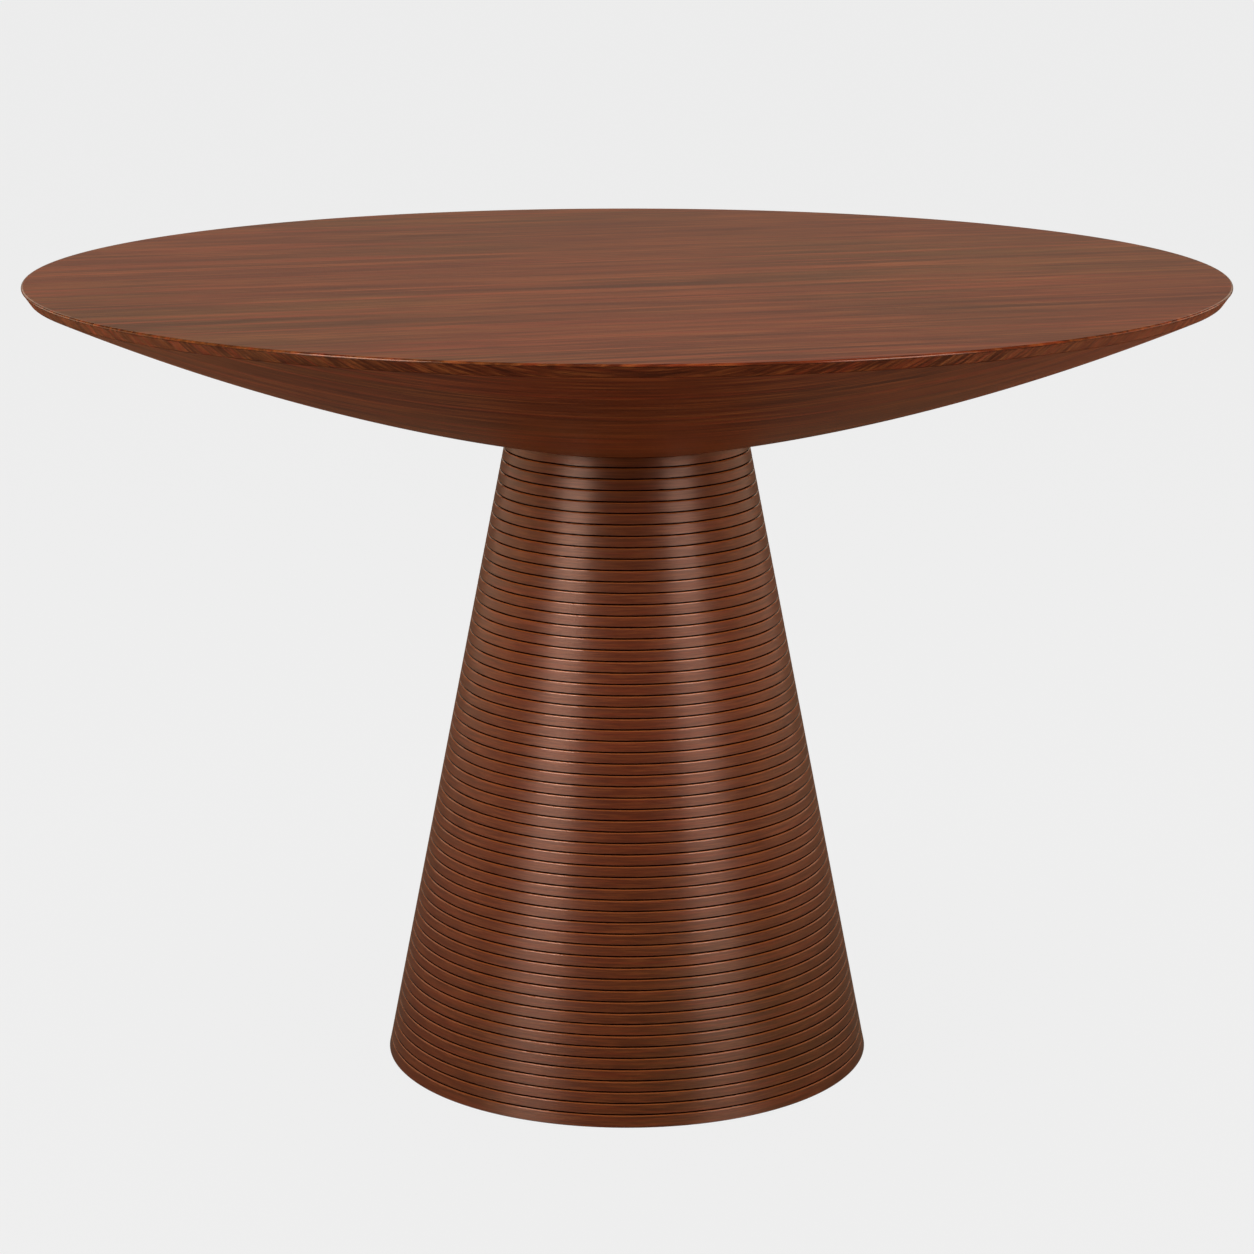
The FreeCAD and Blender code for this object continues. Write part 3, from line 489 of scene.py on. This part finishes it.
def groove_rows(middle, flank, sizes):
    """Rows of one groove from its lower edge up: a shoulder eased in facets, the floor, the roof.

    Each step is a height in half widths from the middle and a share of the full depth.
    """
    half, depth = sizes.groove_width / 2, sizes.groove_depth
    steps = ((-1.8, 0.0), (-1.2, 0.06), (-0.8, 0.16), (-0.5, 0.34), (0.0, 1.0), (0.45, 1.0), (0.75, 0.0))
    return [(flank(middle + half * up) - depth * deep, middle + half * up) for up, deep in steps]


class TABLE_OT_pedestal(bpy.types.Operator):
    """Make the grooved conical skin, let in for the hinge's fixed leaf and the lock's bush"""
    bl_idname = "table.pedestal"
    bl_label = "Grooved pedestal"

    def execute(self, context):
        sizes = context.scene.table_sizes
        low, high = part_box("pedestal_skin")
        slope = (high.x - sizes.neck) / (high.z - low.z)
        wall, ease = 6.6 * MM, 0.8 * MM

        def flank(height):
            """Radius of the ungrooved skin at a height."""
            return sizes.neck + (high.z - height) * slope

        profile = [(flank(low.z) - wall, low.z), (flank(low.z) - ease, low.z), (flank(low.z), low.z + ease)]
        for middle in np.linspace(sizes.groove_first, sizes.groove_last, sizes.grooves):
            profile += groove_rows(middle, flank, sizes)
        profile += [(flank(high.z), high.z), (flank(high.z) - wall, high.z)]
        skin = turned("grooved_skin", profile, sizes.around_pedestal, sharp=8)
        leaf_low, leaf_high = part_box("hinge_fixed_leaf")
        bush_low, bush_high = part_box("bolt_bush")
        leaf_thickness, seat_start, seat_length = 3 * MM, 120.5 * MM, 40 * MM
        notch = block((leaf_low.x - FIT, leaf_low.y, high.z - leaf_thickness - FIT),
                      (leaf_high.x + FIT, leaf_high.y + 9 * MM, high.z + PAST))
        centre, bush_radius = (bush_low + bush_high) / 2, (bush_high.x - bush_low.x) / 2
        seat = drum(Vector((centre.x, seat_start, centre.z)), bush_radius + FIT, seat_length)
        carved(skin, [notch, seat])
        at_floor = flank(0)
        # dark=0.53, below the top's 0.8, is in part painted shade for the pedestal.
        wood = stained_wood(
            "Ash veneer, walnut stain, grooved pedestal", turn=0, stretch=(0.03, 0.03, 1),
            fibre=0.8 * MM, figure=0.6, dark=0.53, rough=0.34, specular=0.62,
            # depth places the near-black painted shade in the groove floors and inner walls.
            depth=lambda tree: radius_weight(tree, at_floor - 0.3 * MM, at_floor - 0.5 * MM, slope),
            # gloss also sets where the painted highlight line lies on the eased groove edges.
            gloss=lambda tree: radius_weight(tree, at_floor - 0.02 * MM, at_floor - 0.05 * MM, slope))
        placed(skin, "pedestal", ["pedestal_skin"], wood)
        return {"FINISHED"}


class TABLE_OT_fittings(bpy.types.Operator):
    """Give every piece that comes straight from the frame the finish of its real material"""
    bl_idname = "table.fittings"
    bl_label = "Fittings and inner parts"

    def execute(self, context):
        finishes = {
            "plywood": plywood(),
            "fibreboard": fibreboard(),
            "hardwood": plywood("Beech, planed"),
            "zinc_steel": metal("Steel, zinc plated", "8E9092", "B4B6B5", 0.34, 3 * MM),
            "black_steel": metal("Steel, black painted", "141414", "1E1E1F", 0.5, 5 * MM, metallic=0.0),
            "bronzed_steel": metal("Steel, dark bronzed", "2A1D14", "4A3524", 0.36, 2.5 * MM),
            "rubber": moulded("Rubber, moulded", "141414", "202020", 0.7, 0.9 * MM),
            "foot_plastic": moulded("Nylon, moulded", "1B1B1C", "262627", 0.55, 1.1 * MM),
        }
        for part in frame["record"]["subparts"]:
            finish = finishes.get(part["material_slot"])
            if finish:
                piece = frame["nodes"][part["node"]]
                piece.data.materials.clear()
                piece.data.materials.append(finish)
        return {"FINISHED"}


# ---------------------------------------------------------------- stage

def softbox(name, place, target, size, radiance, colour="FFFFFF", shows=True):
    """A rectangular studio light that looks at a target; shows says whether gloss mirrors it."""
    lamp = bpy.data.lights.new(name, "AREA")
    lamp.shape, lamp.size, lamp.size_y = "RECTANGLE", size[0], size[1]
    lamp.energy = radiance * math.pi * size[0] * size[1]
    lamp.color = linear(colour)[:3]
    light = bpy.data.objects.new(name, lamp)
    light.visible_camera, light.visible_glossy = False, shows
    light.location = place
    light.rotation_mode = "QUATERNION"
    light.rotation_quaternion = (Vector(target) - Vector(place)).to_track_quat("-Z", "Y")
    bpy.context.scene.collection.objects.link(light)


def around(azimuth, distance, height):
    """A place at an azimuth from the front, in degrees, positive to the right."""
    a = math.radians(azimuth)
    return (distance * math.sin(a), -distance * math.cos(a), height)


def lit_floor(colour):
    """A matt floor lit evenly from below, as a light table is, so that only a faint shadow shows on it."""
    material = blank_material(
        "Studio floor, matt light table", Roughness=1.0, Specular_IOR_Level=0.0, Base_Color=grey(0.015),
        Emission_Color=colour, Emission_Strength=0.985)[0]
    material.cycles.emission_sampling = "NONE"
    return material


class TABLE_OT_stage(bpy.types.Operator):
    """Make the pale floor, the soft studio light and the camera"""
    bl_idname = "table.stage"
    bl_label = "Stage"

    def execute(self, context):
        scene = context.scene
        radius, wall, thick = 60.0, 30.0, 0.02
        floor = turned("floor", [(0, -thick), (radius + thick, -thick), (radius + thick, wall),
                                 (radius, wall), (radius, 0), (0, 0)], 96)
        floor.data.materials.append(lit_floor(scene.table_colours.stage))
        floor.visible_glossy = floor.visible_diffuse = False
        world = bpy.data.worlds.new("Studio")
        scene.world = world
        world.use_nodes = True
        tree = world.node_tree
        sky = tree.nodes["Background"]
        toward = add(tree, "ShaderNodeTexCoord").outputs["Generated"]
        rise = add(tree, "ShaderNodeSeparateXYZ", links={"Vector": toward}).outputs["Z"]
        below = (0.14, 0.125, 0.09, 1)
        tree.links.new(ramp(tree, rise, [(0.0, below), (0.05, grey(0.03))]), sky.inputs["Color"])
        warm, out, wide = "FFECD2", 3.4, 3.2
        softbox("overhead", (0, 0.4, 3.6), (0, 0, 0.7), (4.0, 4.0), 2.6, shows=False)
        softbox("front_fill", (0, -4.4, 2.9), (0, 0, 0.5), (3.5, 1.3), 6, shows=False)
        softbox("back_panel", (0, 6.0, 2.4), (0, 0, 0.7), (8.0, 2.8), 0.6, warm)
        for azimuth, share in ((-46, 1.0), (47, 0.75)):
            softbox("low_box", around(azimuth, out, 0.55), (0, 0, 0.4), (1.4, 1.0), 5 * share)
            softbox("high_box", around(azimuth, out, 1.95), (0, 0, 0.4), (1.4, 1.2), 12.5 * share)
        for side in (-1, 1):
            softbox("side_gloss", around(side * 110, wide, 0.65), (0, 0, 0.5), (3.0, 1.2), 0.8, warm)
            softbox("side_fill", around(side * 80, wide, 0.3), (0, 0, 0.7), (3.0, 0.8), 7, warm, shows=False)
            softbox("bounce", (side * 1.3, -0.1, 0.05), (side * 1.3, -0.1, 1.0), (1.0, 1.6), 5.5, warm,
                    shows=False)
        camera = bpy.data.objects.new("camera", bpy.data.cameras.new("camera"))
        camera.data.sensor_width, camera.data.lens = 36.0, 96.6201
        camera.data.clip_end = 200
        down = 13.25
        camera.location = (0, -3.14106, 1.16122)
        camera.rotation_euler = (math.radians(90 - down), 0, 0)
        scene.collection.objects.link(camera)
        scene.camera = camera
        scene.view_settings.view_transform = "Standard"
        return {"FINISHED"}


class TABLE_PT_panel(bpy.types.Panel):
    """The table's operators and settings"""
    bl_idname = "TABLE_PT_panel"
    bl_label = "Tilt top table"
    bl_space_type = "VIEW_3D"
    bl_region_type = "UI"
    bl_category = "Table"

    def draw(self, context):
        for group in (context.scene.table_sizes, context.scene.table_colours):
            for name in group.__annotations__:
                self.layout.prop(group, name)
        for step in STEPS:
            self.layout.operator(step.bl_idname)


STEPS = (TABLE_OT_top_face, TABLE_OT_lip, TABLE_OT_bowl, TABLE_OT_pedestal, TABLE_OT_fittings, TABLE_OT_stage)
CLASSES = (TableSizes, TableColours) + STEPS + (TABLE_PT_panel,)


def register():
    for each in CLASSES:
        bpy.utils.register_class(each)
    bpy.types.Scene.table_sizes = bpy.props.PointerProperty(type=TableSizes)
    bpy.types.Scene.table_colours = bpy.props.PointerProperty(type=TableColours)


def unregister():
    del bpy.types.Scene.table_sizes
    del bpy.types.Scene.table_colours
    for each in reversed(CLASSES):
        bpy.utils.unregister_class(each)


def main():
    register()
    for step in STEPS:
        group, name = step.bl_idname.split(".")
        getattr(getattr(bpy.ops, group), name)()


if __name__ == "__main__":
    main()
